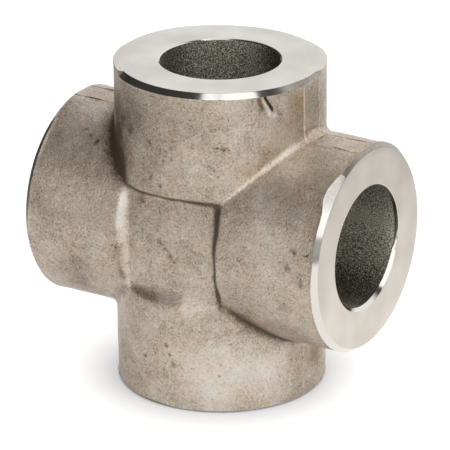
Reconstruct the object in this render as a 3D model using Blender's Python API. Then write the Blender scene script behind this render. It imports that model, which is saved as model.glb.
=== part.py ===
"""Socket weld cross: one steel forging with four equal sockets on two crossing bores.

The cross lies in the XZ plane and its origin is where the two bores cross. Each
arm is a short round barrel. Where two barrels meet, the forging dies leave a small
fillet, a flat band along the parting line in the XZ plane, and a recessed square
pad at the crossing, front and back. The ends are turned flat with a narrow bevel,
and each one is bored as a socket with a shoulder above the smaller through bore.
"""

import math

import bmesh
import bpy
from mathutils import Matrix, Vector

MM = 0.001

# Forged outside
BARREL_RADIUS = 23.8 * MM
PARTING_TRIM = 0.24 * MM
CROTCH_FILLET = 1.8 * MM

# Pad at the crossing: its width to the middle of its step, and its depth at the middle
PAD_HALF_WIDTH = 11.9 * MM
PAD_RECESS = 1.1 * MM
PAD_STEP_RUN = 1.8 * MM

# Turned ends: their distance from the crossing, and the bevel's width and angle to the axis
END_REACH = 38.1 * MM
BEVEL_WIDTH = 1.1 * MM
BEVEL_ANGLE = math.radians(45.0)

# Bored inside
SOCKET_RADIUS = 13.7 * MM
SOCKET_DEPTH = 15.6 * MM
LEAD_IN_WIDTH = 0.37 * MM
LEAD_IN_DEPTH = 0.9 * MM
THROUGH_RADIUS = 7.8 * MM

# Forging lap on the upper barrel: its angles round from the right, and its place below the end
NICK_START_ANGLE = math.radians(34.7)
NICK_END_ANGLE = math.radians(29.7)
NICK_DROP = 1.8 * MM
NICK_LENGTH = 3.9 * MM
NICK_WIDTH = 0.7 * MM
NICK_DEPTH = 0.45 * MM

# Faces on the curved surfaces
BARREL_STEPS = 10
PAD_STEPS = 6
STEP_ROWS = 3
FILLET_STEPS = STEP_ROWS + 2
BORE_STEPS = 48
SMOOTH_ANGLE = math.radians(30.0)

# Working distances that leave no trace in the shape
CUTTER_OVERRUN = 2.0 * MM
MERGE_DISTANCE = 0.005 * MM

# Finishes of the steel, with colours in linear red, green and blue
FINISHES = {
    "forged_skin": {"colour": (0.392, 0.332, 0.262), "roughness": 0.58},
    "turned_face": {"colour": (0.69, 0.66, 0.60), "roughness": 0.34},
    "bored_wall": {"colour": (0.15, 0.14, 0.115), "roughness": 0.62},
}


def clear_scene():
    """Remove every object that the file starts with."""
    for item in list(bpy.data.objects):
        bpy.data.objects.remove(item, do_unlink=True)


def steel(name):
    """Return the material of one finish of the steel."""
    finish = FINISHES[name]
    material = bpy.data.materials.new(name)
    material.use_nodes = True
    shader = material.node_tree.nodes["Principled BSDF"]
    shader.inputs["Base Color"].default_value = (*finish["colour"], 1.0)
    shader.inputs["Roughness"].default_value = finish["roughness"]
    shader.inputs["Metallic"].default_value = 1.0
    return material


def add_object(name, build, materials):
    """Turn a filled bmesh into a smooth shaded object in the scene."""
    mesh = bpy.data.meshes.new(name)
    build.to_mesh(mesh)
    build.free()
    for material in materials:
        mesh.materials.append(material)
    mesh.shade_smooth()
    mesh.set_sharp_from_angle(angle=SMOOTH_ANGLE)
    item = bpy.data.objects.new(name, mesh)
    bpy.context.scene.collection.objects.link(item)
    return item


def barrel_point(angle):
    """Return a point of the barrel's round section, turned from the right to the front."""
    return Vector((math.cos(angle), -math.sin(angle), 0.0)) * BARREL_RADIUS


def section_stations():
    """Return the points and outward normals of one quarter of a barrel's section.

    The section lies in the XY plane. It starts on the flat at the parting line, at
    the right, and follows the round to the crown at the front. The last PAD_STEPS
    stations lie beside the pad.
    """
    flat_angle = math.acos(1.0 - PARTING_TRIM / BARREL_RADIUS)
    pad_angle = math.acos(PAD_HALF_WIDTH / BARREL_RADIUS)
    crown_angle = math.pi / 2
    angles = [flat_angle + (pad_angle - flat_angle) * i / BARREL_STEPS for i in range(BARREL_STEPS)]
    angles += [pad_angle + (crown_angle - pad_angle) * i / PAD_STEPS for i in range(PAD_STEPS + 1)]
    flat_middle = Vector((BARREL_RADIUS - PARTING_TRIM, 0.0, 0.0))
    stations = [(flat_middle, flat_middle.normalized())]
    stations += [(barrel_point(angle), barrel_point(angle).normalized()) for angle in angles]
    return stations


def swap_arms(point):
    """Reflect a point in the diagonal plane between the upright and the level arm."""
    return Vector((point.z, point.y, point.x))


def crotch_arc(point, normal):
    """Return the upright barrel's half of the fillet, at one station.

    A ball of the fillet's radius that touches both barrels has its centre one
    radius off each. The arc runs from where it touches the upright barrel to the
    diagonal plane.
    """
    reach = point.x + CROTCH_FILLET * normal.x
    centre = Vector((reach, point.y + CROTCH_FILLET * normal.y, reach))
    to_upright = -normal
    to_level = swap_arms(to_upright)
    arc = []
    for step in range(FILLET_STEPS + 1):
        direction = to_upright.slerp(to_level, 0.5 * step / FILLET_STEPS)
        arc.append(centre + direction * CROTCH_FILLET)
    return arc


def pad_height(x, z, corner):
    """Return the height of the crowned pad, which falls evenly to its corners."""
    middle = BARREL_RADIUS - PAD_RECESS
    fall = (middle + corner.y) / (corner.x**2 + corner.z**2)
    return fall * (x * x + z * z) - middle


def pad_rows(point, corner):
    """Return the points from the upright barrel down the step and across the pad.

    The rows run towards the diagonal plane. Beside the corner the step is cut
    short there, where it meets the next side's step in a mitre.
    """
    top = PAD_HALF_WIDTH + PAD_STEP_RUN / 2
    diagonal = point.x * corner.x / PAD_HALF_WIDTH
    foot = max(top - PAD_STEP_RUN, top + (diagonal - top) * STEP_ROWS / FILLET_STEPS)
    middle = (foot + diagonal) / 2
    places = [(point.x, top + (foot - top) * row / STEP_ROWS) for row in range(STEP_ROWS + 1)]
    places += [((point.x + diagonal) / 2, middle), (diagonal, diagonal)]
    rows = []
    for x, z in places:
        share = min((top - z) / PAD_STEP_RUN, 1.0)
        blend = share * share * (3.0 - 2.0 * share)
        rows.append(Vector((x, point.y + (pad_height(x, z, corner) - point.y) * blend, z)))
    return rows


def upright_half_rib(point, normal, corner):
    """Return a rib's points from the upper turned face to the diagonal plane."""
    radius = point.length
    face_radius = BARREL_RADIUS - BEVEL_WIDTH
    rim = point * (face_radius / radius)
    rim.z = END_REACH
    bevel_foot = point.copy()
    bevel_foot.z = END_REACH - (radius - face_radius) / math.tan(BEVEL_ANGLE)
    beside_pad = point.x < PAD_HALF_WIDTH - MERGE_DISTANCE
    rows = pad_rows(point, corner) if beside_pad else crotch_arc(point, normal)
    return [rim, bevel_foot, *rows]


def cross_octant():
    """Return one eighth of the solid cross: upper, right and front.

    Ribs run from the upper face down to the crotch and out to the right face, and
    the skin is the loft through them. A sector closes each turned end. The sides
    on the three mirror planes stay open.
    """
    stations = section_stations()
    corner = crotch_arc(*stations[-1 - PAD_STEPS])[-1]
    build = bmesh.new()
    ribs = []
    for point, normal in stations:
        upright = upright_half_rib(point, normal, corner)
        level = [swap_arms(place) for place in reversed(upright[:-1])]
        ribs.append([build.verts.new(place) for place in upright + level])
    for rib, following in zip(ribs, ribs[1:]):
        for row in range(len(rib) - 1):
            build.faces.new((following[row], following[row + 1], rib[row + 1], rib[row]))
    upper_centre = build.verts.new((0.0, 0.0, END_REACH))
    right_centre = build.verts.new((END_REACH, 0.0, 0.0))
    upper_face = build.faces.new([upper_centre, *(rib[0] for rib in reversed(ribs))])
    right_face = build.faces.new([right_centre, *(rib[-1] for rib in ribs)])
    upper_face.material_index = 1
    right_face.material_index = 1
    return build


def as_cutter(item):
    """Show an object as a wire cutter that never renders."""
    item.display_type = "WIRE"
    item.hide_render = True
    return item


def bore_cutter(name, first_angle, material):
    """Return a double-ended cutter along Z: lead-in, socket, shoulder and through bore."""
    beyond = END_REACH + CUTTER_OVERRUN
    mouth = SOCKET_RADIUS + LEAD_IN_WIDTH * (1.0 + CUTTER_OVERRUN / LEAD_IN_DEPTH)
    shoulder = END_REACH - SOCKET_DEPTH
    upper = [
        (0.0, beyond),
        (mouth, beyond),
        (SOCKET_RADIUS, END_REACH - LEAD_IN_DEPTH),
        (SOCKET_RADIUS, shoulder),
        (THROUGH_RADIUS, shoulder),
    ]
    profile = upper + [(radius, -height) for radius, height in reversed(upper)]
    turn = Matrix.Rotation(first_angle, 3, "Z")
    build = bmesh.new()
    verts = [build.verts.new(turn @ Vector((radius, 0.0, z))) for radius, z in profile]
    edges = [build.edges.new(pair) for pair in zip(verts, verts[1:])]
    bmesh.ops.spin(
        build,
        geom=verts + edges,
        cent=(0.0, 0.0, 0.0),
        axis=(0.0, 0.0, 1.0),
        angle=math.tau,
        steps=BORE_STEPS,
        use_merge=True,
    )
    bmesh.ops.remove_doubles(build, verts=build.verts, dist=MERGE_DISTANCE)
    bmesh.ops.recalc_face_normals(build, faces=build.faces)
    return as_cutter(add_object(name, build, [material]))


def nick_cutter(material):
    """Return a slim wedge that opens the forging lap on the upper barrel."""
    start = barrel_point(NICK_START_ANGLE)
    start.z = END_REACH - NICK_DROP
    end = barrel_point(NICK_END_ANGLE)
    end.z = start.z - NICK_LENGTH
    outward = barrel_point((NICK_START_ANGLE + NICK_END_ANGLE) / 2).normalized()
    across = (end - start).normalized().cross(outward)
    build = bmesh.new()
    mouth = []
    for place, side in ((start, -1), (start, 1), (end, 1), (end, -1)):
        mouth.append(build.verts.new(place + (outward + across * side) * NICK_WIDTH))
    root = [build.verts.new(place - outward * NICK_DEPTH) for place in (start, end)]
    build.faces.new(mouth)
    build.faces.new((mouth[0], mouth[1], root[0]))
    build.faces.new((mouth[2], mouth[3], root[1]))
    build.faces.new((mouth[1], mouth[2], root[1], root[0]))
    build.faces.new((mouth[3], mouth[0], root[0], root[1]))
    bmesh.ops.recalc_face_normals(build, faces=build.faces)
    return as_cutter(add_object("nick_cutter", build, [material]))


def mirror_octant(item):
    """Complete the cross from its octant."""
    mirror = item.modifiers.new("octants", "MIRROR")
    mirror.use_axis = (True, True, True)
    mirror.merge_threshold = MERGE_DISTANCE


def cut(item, cutter):
    """Take a cutter's volume out of an object, with the cutter's finish on the new walls."""
    boolean = item.modifiers.new(cutter.name, "BOOLEAN")
    boolean.operation = "DIFFERENCE"
    boolean.solver = "EXACT"
    boolean.material_mode = "TRANSFER"
    boolean.object = cutter


def make_cross():
    """Build the forging, mirror it, bore its sockets and open its nick.

    The level cutter's facets are half a step out of line with the upright one's,
    so that no edges of the two bores fall together where they cross.
    """
    forged = steel("forged_skin")
    turned = steel("turned_face")
    bored = steel("bored_wall")
    cross = add_object("cross_body", cross_octant(), [forged, turned])
    mirror_octant(cross)
    upright_bore = bore_cutter("upright_bore_cutter", 0.0, bored)
    level_bore = bore_cutter("level_bore_cutter", math.pi / BORE_STEPS, bored)
    level_bore.rotation_euler = (0.0, math.pi / 2, 0.0)
    for cutter in (upright_bore, level_bore, nick_cutter(forged)):
        cut(cross, cutter)


clear_scene()
make_cross()
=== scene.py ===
"""Looks of the socket weld cross: forged skin, turned ends and bored sockets.

The whole cross is one closed surface, worked out on grids. Each arm is split into four
quarters, right or left and front or back of its axis. A quarter's grid runs round the
barrel in one direction, over its ribs, and along a rib in the other: from the crotch or
the pad up the barrel, over the bevel and the turned face, and down the bore to the
crossing. Lengths are in metres, +Z is up and -Y is the front.
"""

import logging
import math
from dataclasses import dataclass
from enum import Enum, IntEnum
from typing import Any

import bpy
import numpy as np
from mathutils import Matrix, Vector


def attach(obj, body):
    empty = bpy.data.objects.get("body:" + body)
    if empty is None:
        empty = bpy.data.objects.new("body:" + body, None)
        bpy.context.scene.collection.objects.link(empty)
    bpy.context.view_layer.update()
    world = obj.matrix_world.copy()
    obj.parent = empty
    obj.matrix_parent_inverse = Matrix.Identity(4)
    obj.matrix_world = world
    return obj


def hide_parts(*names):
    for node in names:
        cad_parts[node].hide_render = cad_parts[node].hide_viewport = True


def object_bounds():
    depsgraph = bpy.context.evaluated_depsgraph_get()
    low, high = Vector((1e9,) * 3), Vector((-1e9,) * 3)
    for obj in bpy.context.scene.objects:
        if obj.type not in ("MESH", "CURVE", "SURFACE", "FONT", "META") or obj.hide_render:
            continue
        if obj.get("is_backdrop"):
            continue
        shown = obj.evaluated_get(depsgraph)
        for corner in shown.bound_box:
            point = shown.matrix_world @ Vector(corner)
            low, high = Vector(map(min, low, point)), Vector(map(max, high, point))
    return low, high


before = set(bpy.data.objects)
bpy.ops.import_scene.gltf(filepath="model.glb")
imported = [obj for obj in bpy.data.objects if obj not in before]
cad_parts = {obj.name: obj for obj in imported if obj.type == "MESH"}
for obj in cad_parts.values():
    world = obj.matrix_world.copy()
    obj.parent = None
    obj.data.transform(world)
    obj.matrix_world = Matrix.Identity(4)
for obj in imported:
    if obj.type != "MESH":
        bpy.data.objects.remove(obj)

LOG = logging.getLogger("socket_weld_cross")
MM = 0.001

# Least length, area and turn, which keep a division from failing where one is nought
LEAST_LENGTH = 1e-9
LEAST_AREA = 1e-12
LEAST_TURN = 1e-7


class Surface(IntEnum):
    """Material slots of the cross, in their order on the mesh."""

    SKIN = 0
    BEVEL = 1
    FACE = 2
    BORE = 3


class PointValue(Enum):
    """Values that each point of the cross carries, by the names of their attributes.

    They are its distance from the arm's axis, how free it is to take the skin's relief,
    its tone and warmth, how dull it is, and how much forging scale is on it. The tone is
    mostly painted shade and highlight.
    """

    FROM_AXIS = "from_axis"
    FREEDOM = "freedom"
    TONE = "tone"
    WARMTH = "warmth"
    DULL = "dull"
    SCALE = "scale"


def smoothstep(share: np.ndarray) -> np.ndarray:
    """Ease a share from 0 to 1, level at both ends: s squared times (3 less 2 s).

    Args:
        share: Shares, which are clipped to 0 and 1 first.

    Returns:
        The eased shares.
    """
    clipped = np.clip(share, 0.0, 1.0)
    return clipped * clipped * (3.0 - 2.0 * clipped)


@dataclass(frozen=True)
class Waves:
    """Random unevenness: a sum of plane cosine waves in all directions.

    The height at a point is the mean of cos(k . point + phase) over the waves, scaled to
    the wanted standard deviation. The wave vectors k have random directions, and lengths
    between the two given wavelengths.
    """

    seed: int
    shortest: float
    longest: float
    deviation: float
    count: int = 36

    def height(self, points: np.ndarray) -> np.ndarray:
        """Return the height at each point.

        Args:
            points: Points, one per row.

        Returns:
            One height per point, in metres.
        """
        rng = np.random.default_rng(self.seed)
        direction = rng.normal(size=(self.count, 3))
        direction /= np.linalg.norm(direction, axis=1, keepdims=True)
        length = rng.uniform(self.shortest, self.longest, self.count)
        phase = rng.uniform(0.0, math.tau, self.count)
        wave = points @ (direction * (math.tau / length)[:, None]).T + phase
        return np.cos(wave).sum(axis=-1) * self.deviation * math.sqrt(2.0 / self.count)


@dataclass(frozen=True)
class BarrelSection:
    """Round section of a forged barrel, with a narrow flat on its parting line.

    Angles turn from the parting line, at the side, to the crown, at the front or back.
    The gaps between its ribs are finer at the front and finest on the flat, and ease
    from one to the other over the fade.
    """

    radius: float = 23.8 * MM
    parting_trim: float = 0.24 * MM
    front_gap: float = 0.52 * MM
    back_gap: float = 0.85 * MM
    fine_gap: float = 0.13 * MM
    fade: float = 3.0 * MM
    samples: int = 4001

    @property
    def flat_angle(self) -> float:
        """Return the angle at which the flat ends and the round begins."""
        return math.acos(1.0 - self.parting_trim / self.radius)

    @property
    def flat_edge(self) -> float:
        """Return how far the flat reaches to the front and to the back."""
        return self.radius * math.sin(self.flat_angle)

    def rib_angles(self, plain_gap: float, zones: tuple[tuple[float, float, float], ...]) -> np.ndarray:
        """Return the angles of one quarter's ribs.

        The wanted gap between ribs is a function of the angle: the plain gap, which eases
        down to a zone's own gap inside the zone. The inverse of the gap is summed along
        the quarter, and ribs stand at equal steps of the sum.

        Args:
            plain_gap: Gap between ribs outside the zones.
            zones: First angle, last angle and gap of each zone of finer detail.

        Returns:
            Rising angles, from 0 to a right angle.
        """
        angle = np.linspace(0.0, math.pi / 2, self.samples)
        gap = np.full_like(angle, plain_gap)
        edge = (self.flat_angle, self.flat_angle, self.fine_gap)
        for first, last, wanted in (edge, *zones):
            off = np.maximum(np.abs(angle - (first + last) / 2) - (last - first) / 2, 0.0) * self.radius
            gap = np.minimum(gap, wanted + (plain_gap - wanted) * smoothstep(off / self.fade))
        total = np.concatenate([[0.0], np.cumsum(self.radius * np.diff(angle) / gap[1:])])
        steps = int(math.ceil(total[-1]))
        angles = np.interp(np.linspace(0.0, total[-1], steps + 1), total, angle)
        angles[-1] = math.pi / 2
        return angles

    def outline(self, angles: np.ndarray) -> tuple[np.ndarray, np.ndarray]:
        """Return the section's points: the flat is a chord, the rest is the circle.

        Args:
            angles: Angles from the parting line towards the crown.

        Returns:
            The distances to the side and to the front, the front being negative.
        """
        flat = angles < self.flat_angle
        chord = self.radius - self.parting_trim
        along_flat = chord * np.tan(np.minimum(angles, self.flat_angle))
        side = np.where(flat, chord, self.radius * np.cos(angles))
        front = -np.where(flat, along_flat, self.radius * np.sin(angles))
        return side, front


@dataclass(frozen=True)
class Chamfer:
    """The bevel of an end at one angle round the arm.

    The angle turns in degrees from the front towards the arm's across direction. Inward
    and down are the bevel's width on the face and its depth on the barrel, in mm. Dull
    is 0 where it is turned bright and 1 where it is ground rough. Scale is 1 where dark
    forging scale is left on it.
    """

    angle: float
    inward: float
    down: float
    dull: float = 0.0
    scale: float = 0.0


@dataclass(frozen=True)
class Arm:
    """One arm of the cross, with the small differences of its own forging and turning.

    A shift moves the mouth or the socket off the barrel's axis, across the arm and to the
    back. The step is the edge of the pad beside the arm, and its taper is the change of
    its run from the middle to the end, as a share. A tone lightens where it is above 0
    and darkens below, and a warmth browns: of the step, the flash or the turned face.
    The step's tone is painted shade or painted highlight on the step; the flash's is partly
    its own colour and partly painted highlight and shadow on its ridge.
    """

    name: str
    along: tuple[int, int, int]
    across: tuple[int, int, int]
    chamfers: tuple[Chamfer, ...]
    reach: float = 38.1 * MM
    foot_wander: float = 0.02 * MM
    rim_round: float = 0.12 * MM
    mouth_radius: float = 14.0 * MM
    mouth_shift: tuple[float, float] = (0.0, 0.0)
    socket_radius: float = 13.7 * MM
    socket_shift: tuple[float, float] = (0.0, 0.0)
    lead_in_depth: float = 0.9 * MM
    step_run: float = 1.8 * MM
    step_taper: float = 0.0
    step_tone: float = 0.0
    flash_tone: float = 0.0
    flash_warmth: float = 0.0
    face_warmth: float = 0.0

    def chamfer(self, around: np.ndarray) -> np.ndarray:
        """Return the bevel's values at each angle round the arm, by straight interpolation.

        Args:
            around: Angles from the front towards the across direction, in radians.

        Returns:
            Four rows: inward and down in metres, dull and scale.
        """
        angle = np.degrees(around)
        known = [chamfer.angle for chamfer in self.chamfers]
        columns = [
            [chamfer.inward * MM for chamfer in self.chamfers],
            [chamfer.down * MM for chamfer in self.chamfers],
            [chamfer.dull for chamfer in self.chamfers],
            [chamfer.scale for chamfer in self.chamfers],
        ]
        return np.array([np.interp(angle, known, column, period=360.0) for column in columns])


@dataclass(frozen=True)
class Octant:
    """One eighth of the cross: signs of X and Z, and 1 for the front or -1 for the back."""

    right: int
    upper: int
    front: int

    def across(self, arm: Arm) -> int:
        """Return the sign of this eighth along an arm's across direction."""
        return self.right if arm.across[0] else self.upper


@dataclass(frozen=True)
class Mark:
    """A scar of the skin along a line, in mm, with its own depth, tone and warmth; its tone is often painted
    shade or highlight.
    """

    start: tuple[float, float, float]
    end: tuple[float, float, float]
    half_width: float
    height: float = 0.0
    tone: float = 0.0
    warmth: float = 0.0

    def share(self, points: np.ndarray) -> np.ndarray:
        """Return how much of the mark there is at each point, from 0 to 1.

        Args:
            points: Points, one per row, in metres.

        Returns:
            One share per point: smoothstep of 1 less the distance from the mark's line
            over twice its half width.
        """
        start, end = np.array(self.start) * MM, np.array(self.end) * MM
        line = end - start
        place = np.clip((points - start) @ line / max(float(line @ line), LEAST_AREA), 0.0, 1.0)
        distance = np.linalg.norm(points - start - place[:, None] * line, axis=1)
        return smoothstep(1.0 - distance / (2.0 * self.half_width * MM))


@dataclass(frozen=True)
class Crease:
    """A strip along the fillet between two barrels that is lighter or darker than the rest: a painted
    highlight or painted shade along the crease.

    Its middle lies off the crease towards the level arm, which a negative value turns
    round to the upright one. It begins over a run beside the pad's corner, and fades out
    over another towards the parting line. Its measures are in mm.
    """

    octant: Octant
    off: float
    half_width: float
    tone: float
    corner: float = 11.0
    corner_run: float = 3.0
    parting: float = 2.0
    parting_run: float = 7.0

    def tones(self, points: np.ndarray) -> np.ndarray:
        """Return the strip's tone at each point.

        Args:
            points: Points, one per row, in metres.

        Returns:
            The tone times three smooth steps: one by the distance from the strip's middle,
            one that starts it beyond the pad's corner, one that ends it at the parting line.
        """
        level, upright = points[:, 0] * self.octant.right, points[:, 2] * self.octant.upper
        inside = (level > 0.0) & (upright > 0.0) & (points[:, 1] * self.octant.front < 0.0)
        off = (level - upright) / math.sqrt(2.0) - self.off * MM
        beside = smoothstep(1.0 - np.abs(off) / (self.half_width * MM))
        beyond = smoothstep((np.minimum(level, upright) / MM - self.corner) / self.corner_run)
        ending = smoothstep((np.abs(points[:, 1]) / MM - self.parting) / self.parting_run)
        return self.tone * beside * beyond * ending * inside


@dataclass
class Rings:
    """Rings round an arm's axis, one after another on the way in from the barrel.

    Radii and heights have a row for each rib and a column for each ring. Shifts hold how
    far each ring's middle lies off the axis, across the arm and to the back. Surfaces
    name the finish of the strip that ends at each ring.
    """

    radii: np.ndarray
    heights: np.ndarray
    shifts: np.ndarray
    surfaces: list[Surface]


@dataclass
class Patch:
    """A grid of one quarter arm, with its points' values, before it is welded.

    Surfaces hold the finish of the strip between each row of points and the next.
    """

    points: np.ndarray
    values: dict[PointValue, np.ndarray]
    surfaces: np.ndarray
    flipped: bool

# Each arm's step tone paints the shade or highlight of the pad's step beside it; its flash tone is partly the
# flash's own colour and partly painted highlight and shadow of its ridge.
TOP = Arm(
    "top", (0, 0, 1), (1, 0, 0), reach=37.6 * MM, mouth_radius=13.76 * MM, socket_radius=13.5 * MM,
    lead_in_depth=0.3 * MM, step_run=2.0 * MM, step_tone=-1.35, flash_tone=0.9, flash_warmth=0.15,
    chamfers=(
        Chamfer(-150, 0.9, 0.9), Chamfer(-125, 0.06, 0.06), Chamfer(-40.5, 0.06, 0.06, 0.9, 0.5),
        Chamfer(-38, 1.15, 1.12, 0.9, 0.5), Chamfer(-27, 1.2, 1.17, 0.2, 0.3),
        Chamfer(-20, 1.2, 1.17), Chamfer(60, 1.18, 1.15), Chamfer(70, 1.1, 1.08, 0.2, 0.35),
        Chamfer(77, 1.07, 1.05, 0.9, 0.6), Chamfer(98, 0.95, 0.9, 0.9, 0.5),
        Chamfer(103, 0.06, 0.06, 0.9, 0.4), Chamfer(135, 0.06, 0.06), Chamfer(155, 0.9, 0.9),
    ),
)
BOTTOM = Arm(
    "bottom", (0, 0, -1), (1, 0, 0), step_run=4.2 * MM, step_taper=0.5, step_tone=0.1, flash_tone=0.6,
    flash_warmth=0.5,
    chamfers=(
        Chamfer(-60, 0.7, 0.8, 0.9, 0.4), Chamfer(-36, 0.7, 0.8, 0.9, 0.7), Chamfer(-6, 0.7, 0.8, 0.9, 0.5),
        Chamfer(4, 0.6, 0.6, 0.9, 0.1), Chamfer(80, 0.6, 0.6, 0.9, 0.0), Chamfer(120, 0.7, 0.8, 0.9, 0.3),
    ),
)
RIGHT = Arm(
    "right", (1, 0, 0), (0, 0, 1), mouth_radius=14.4 * MM, mouth_shift=(0.24 * MM, -0.7 * MM),
    socket_radius=14.1 * MM, socket_shift=(0.62 * MM, -0.58 * MM), foot_wander=0.03 * MM,
    step_run=2.6 * MM, step_taper=0.15, step_tone=-1.7, flash_tone=-0.3, flash_warmth=0.3,
    face_warmth=0.3,
    chamfers=(
        Chamfer(-170, 1.1, 1.2), Chamfer(-50, 1.05, 1.36), Chamfer(-20, 1.0, 1.3), Chamfer(-8, 1.0, 1.2),
        Chamfer(2, 1.0, 1.1), Chamfer(12, 1.0, 1.0), Chamfer(26, 1.0, 1.05), Chamfer(37, 1.1, 1.15),
        Chamfer(40, 1.1, 1.5, 0.5, 0.05), Chamfer(44.5, 1.1, 2.05, 0.8, 0.15),
        Chamfer(51.5, 1.1, 2.1, 0.8, 0.2), Chamfer(56, 1.1, 1.65, 0.8, 0.2),
        Chamfer(61.5, 1.1, 1.0, 0.7, 0.2), Chamfer(63, 1.1, 0.5, 0.4, 0.5),
        Chamfer(80, 1.1, 0.5, 0.5, 0.5), Chamfer(88, 1.1, 0.8, 0.9, 0.5),
        Chamfer(110, 1.1, 1.1, 0.9, 0.4), Chamfer(150, 1.1, 1.2),
    ),
)
LEFT = Arm(
    "left", (-1, 0, 0), (0, 0, 1), reach=37.75 * MM, step_run=2.7 * MM, step_taper=0.35, step_tone=0.7,
    flash_tone=-1.1,
    chamfers=(
        Chamfer(-170, 1.1, 1.1, 0.3, 0.2), Chamfer(-12, 1.0, 1.1, 0.6, 0.5), Chamfer(6, 1.1, 1.3, 0.9, 0.9),
        Chamfer(56, 1.2, 1.5, 0.9, 1.0), Chamfer(64, 1.2, 1.0, 0.6, 0.6), Chamfer(150, 1.1, 1.1, 0.3, 0.2),
    ),
)


@dataclass
class ForgedCross:
    """The whole fitting: one forging, turned at four ends and bored through twice.

    Rows stand close together over the close reach below the pad's margin. On the barrel
    the even share of their spacing is even, and the rest of it draws them to the bevel.
    The bevel's foot wanders only where the bevel is about as wide as the steady width.
    The rim's arc takes up no more than the rim share of the bevel.
    """

    name: str = "forged_cross"
    section: BarrelSection = BarrelSection()
    crotch_fillet: float = 1.8 * MM
    pad_half_width: float = 11.9 * MM
    pad_recess: float = 1.1 * MM
    pad_margin: float = 1.6 * MM
    close_reach: float = 3.52 * MM
    even_share: float = 0.55
    step_wander: float = 0.09 * MM
    shoulder_height: float = 22.5 * MM
    shoulder_fillet: float = 0.4 * MM
    mouth_round: float = 0.08 * MM
    through_radius: float = 7.8 * MM
    weld_step: float = 0.0001 * MM
    sharp_angle: float = math.radians(24.0)
    least_chamfer: float = 0.05 * MM
    steady_width: float = 0.8 * MM
    rim_share: float = 0.45
    settle: float = 0.6 * MM
    inner_rows: int = 24
    barrel_rows: int = 24
    bevel_rows: tuple[float, ...] = (0.5, 0.93, 1.0)
    rim_rows: int = 3
    face_rows: int = 5
    bore_rows: int = 5
    top: Arm = TOP
    bottom: Arm = BOTTOM
    right: Arm = RIGHT
    left: Arm = LEFT
    skin_level: float = -0.09 * MM
    unevenness: tuple[Waves, ...] = (
        Waves(seed=11, shortest=9.0 * MM, longest=20.0 * MM, deviation=0.045 * MM),
        Waves(seed=12, shortest=3.0 * MM, longest=7.0 * MM, deviation=0.012 * MM),
    )
    flash_height: float = 0.16 * MM
    flash_half_width: float = 0.20 * MM
    flash_tone_half_width: float = 0.30 * MM
    flash_mean: float = 0.6
    flash_most: float = 1.6
    flash_waves: Waves = Waves(seed=21, shortest=2.0 * MM, longest=9.0 * MM, deviation=0.5)
    step_waves: Waves = Waves(seed=31, shortest=4.0 * MM, longest=11.0 * MM, deviation=1.0)
    foot_waves: Waves = Waves(seed=41, shortest=2.0 * MM, longest=7.0 * MM, deviation=1.0)
    fine_zones: tuple[tuple[Octant, tuple[float, float, float]], ...] = (
        (Octant(1, 1, 1), (math.radians(27.0), math.radians(37.5), 0.15 * MM)),
        (Octant(-1, 1, 1), (math.radians(49.5), math.radians(52.5), 0.2 * MM)),
    )
    corner_zone: tuple[float, float, float] = (math.radians(58.0), math.radians(62.0), 0.3 * MM)
    scars: tuple[Mark, ...] = (
        # The nick: painted shade in its slit, a painted highlight on its burr, a darker brown patch and a
        # pale smudge beside it, and a short dark line.
        Mark((19.56, -13.56, 36.3), (20.66, -11.81, 32.9), 0.20, height=-0.50, tone=-2.6, warmth=0.5),
        Mark((19.25, -13.99, 35.8), (20.25, -12.50, 32.6), 0.20, height=0.20, tone=1.3),
        Mark((18.70, -14.70, 36.0), (19.25, -14.00, 33.6), 0.50, tone=-0.9, warmth=0.6),
        Mark((20.2, -12.6, 32.2), (21.0, -11.2, 31.7), 0.40, height=0.08, tone=1.0),
        Mark((21.1, -11.0, 32.9), (21.7, -9.8, 31.3), 0.20, height=-0.06, tone=-0.5, warmth=0.3),
        Mark((12.3, -20.4, 25.0), (13.5, -19.6, 25.0), 0.45, height=-0.16),
        # Painted highlight along the flash ridge where it crosses the crotch.
        Mark((23.5, -3.3, 26.6), (25.3, -3.3, 24.9), 0.26, height=0.16, tone=1.9, warmth=0.2),
        Mark((25.3, -3.3, 24.9), (27.2, -3.4, 23.75), 0.28, height=0.16, tone=1.9),
        Mark((27.2, -3.4, 23.75), (30.6, -3.4, 23.6), 0.24, height=0.12, tone=1.6),
        # Painted highlight on the upper half of the pad's left step, and painted shade on its lower half.
        Mark((-12.5, -21.7, 9.8), (-12.9, -22.9, 3.0), 0.80, tone=1.0),
        Mark((-12.8, -22.9, -2.0), (-12.5, -21.7, -9.8), 1.00, tone=-0.8),
        # A darker, browner strip along the pad's lower left corner.
        Mark((-10.4, -21.6, -12.2), (-3.6, -22.9, -12.5), 1.10, tone=-0.6, warmth=0.3),
        # Painted shade on the bore walls where little light reaches, and painted light on the right bore's
        # back wall.
        Mark((8.6, 10.3, 24.0), (8.6, 10.3, 38.0), 4.6, tone=-1.7),
        Mark((-13.5, 0.0, 24.0), (-13.5, 0.0, 38.0), 4.4, tone=-0.9),
        Mark((24.0, 5.5, -12.4), (39.0, 5.5, -12.4), 4.4, tone=-1.3),
        Mark((24.0, 0.0, -13.2), (39.0, 0.0, -13.2), 3.0, tone=-0.6),
        Mark((25.0, 12.8, 1.5), (39.0, 12.8, 1.5), 4.6, tone=0.8),
    )
    # Painted highlight in the upper right crease and painted shade in the other three.
    creases: tuple[Crease, ...] = (
        Crease(Octant(1, 1, 1), off=0.0, half_width=1.3, tone=0.45),
        Crease(Octant(1, -1, 1), off=1.1, half_width=3.0, tone=-1.3),
        Crease(Octant(-1, 1, 1), off=-1.2, half_width=4.4, tone=-1.75),
        Crease(Octant(-1, -1, 1), off=0.0, half_width=1.6, tone=-0.5),
    )

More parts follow.
